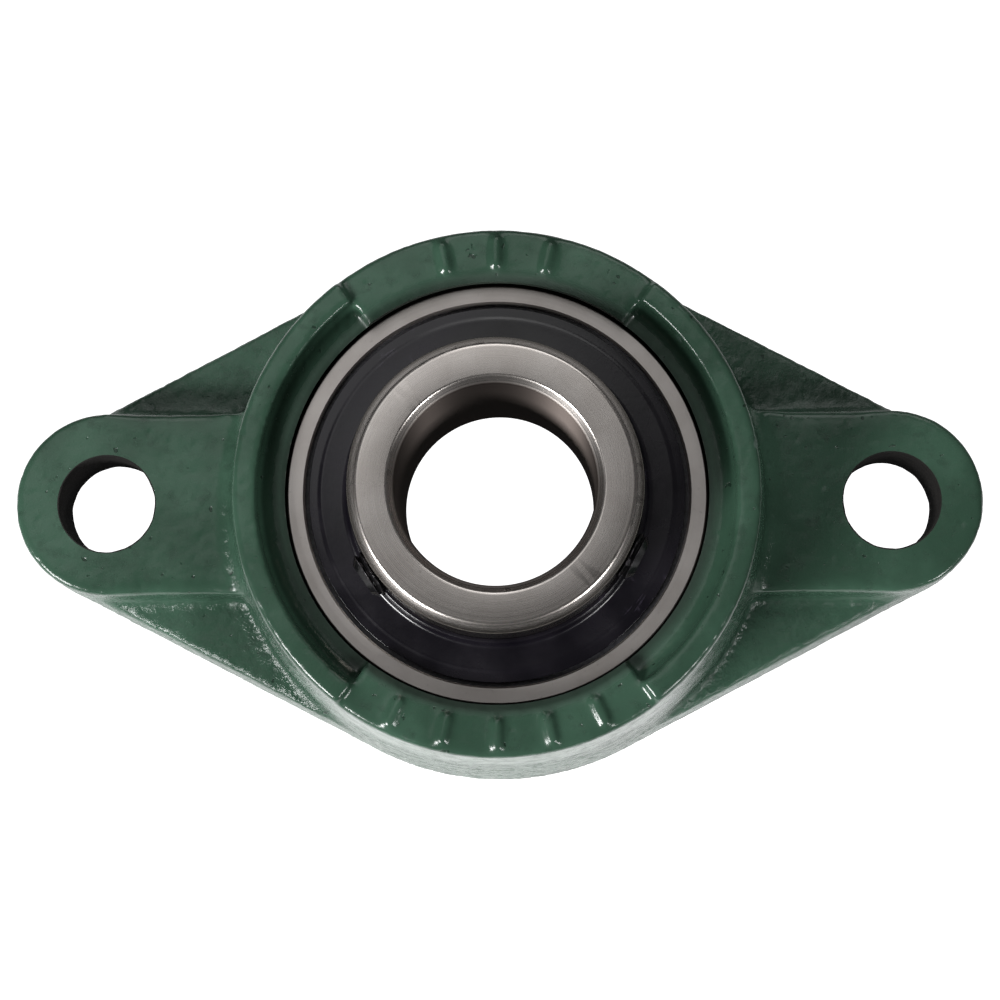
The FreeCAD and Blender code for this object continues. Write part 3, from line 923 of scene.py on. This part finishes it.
def add_softbox(name, azimuth, elevation, distance, size, power):
    """A softbox that looks at the object from a direction, in degrees and metres."""
    data = bpy.data.lights.new(name, "AREA")
    data.shape = "RECTANGLE"
    data.size, data.size_y = size
    data.energy = power
    light = bpy.data.objects.new(name, data)
    a, e = math.radians(azimuth), math.radians(elevation)
    place = Vector((math.cos(a) * math.cos(e), math.sin(a) * math.cos(e), math.sin(e))) * distance
    light.location = place
    light.rotation_euler = (-place).to_track_quat("-Z", "Y").to_euler()
    bpy.context.scene.collection.objects.link(light)


def add_world(strength):
    """Even light from all round."""
    world = bpy.data.worlds.new("studio")
    bpy.context.scene.world = world
    world.use_nodes = True
    back = world.node_tree.nodes["Background"]
    back.inputs["Color"].default_value = (1, 1, 1, 1)
    back.inputs["Strength"].default_value = strength


bpy.context.scene.view_settings.view_transform = "Standard"
add_camera()
white = add_floor("floor_white", 3.0, -0.0004, (0.9, 0.9, 0.9), lambda t: WHITE_GLOW)
white.visible_diffuse = False
white.visible_glossy = False
table = add_floor("floor_pale", 0.26, -0.0002, (0.8, 0.8, 0.8),
                  lambda t: t.band(t.split()["Y"], -40, -20, TABLE_GLOW_NEAR, TABLE_GLOW_FAR))
table.visible_camera = False
add_world(0.055)
add_softbox("key", 220, 34, 1.0, (0.34, 0.30), 14)
add_softbox("rim", 317, 34, 1.1, (0.16, 0.3), 4)
add_softbox("top", 115, 66, 1.2, (0.8, 0.7), 1.55)
add_softbox("fill", 82, 42, 1.2, (0.9, 0.5), 2.5)

dress(make_housing(), paint_material())
# The inner ring grows darker towards its outer edge.
inner_edge_darkening = (INNER_R - 1.0, INNER_R - 0.15, (0.10, 0.09, 0.08))
dress(make_inner_ring(), steel_material("ground_steel", (0.55, 0.51, 0.48), (0.64, 0.60, 0.57),
                                        0.24, 0.29, bore=(0.10, 0.084, 0.076), dark_edge=inner_edge_darkening))
# A near-black band at the outer ring's outer edge: painted shade of the gap to the housing.
gap_shade = (OUTER_FACE_R, OUTER_FACE_R + 0.2, (0.004, 0.004, 0.003))
dress_nodes("outer_ring", steel_material("outer_steel", (0.49, 0.455, 0.43), (0.58, 0.545, 0.52),
                                         0.36, 0.42, dark_edge=gap_shade))
coat = black_material("slinger_coat", (0.004, 0.0034, 0.0055), (0.008, 0.0068, 0.010), 0.20, 0.28)
for name in ("slinger_front", "slinger_back"):
    dress(make_slinger(name), coat)
# The set screws' strong edge paleness is partly wear and partly a painted glint.
oxide = black_material("black_oxide", (0.006, 0.006, 0.007), (0.014, 0.013, 0.014), 0.2, 0.3,
                       metallic=0.5, wear_and_glint=24)
for name in ("set_screw_a", "set_screw_b"):
    dress(make_screw(name), oxide)
dress_nodes("ball_", steel_material("ball_steel", (0.55, 0.55, 0.56), (0.62, 0.62, 0.63),
                                    0.08, 0.12, marks=0.0003))
dress_nodes("cage", steel_material("cage_steel", (0.30, 0.28, 0.26), (0.40, 0.38, 0.35),
                                   0.3, 0.45))
dress_nodes("seal_plate", black_material("plate_coat", (0.008, 0.008, 0.010),
                                         (0.018, 0.018, 0.020), 0.35, 0.5, metallic=0.3))
dress_nodes("seal_rubber", black_material("seal_rubber", (0.012, 0.012, 0.013),
                                          (0.022, 0.022, 0.023), 0.5, 0.65))
dress_nodes("grease_port_plug", steel_material("zinc_plate", (0.36, 0.35, 0.31),
                                               (0.48, 0.47, 0.43), 0.28, 0.42))
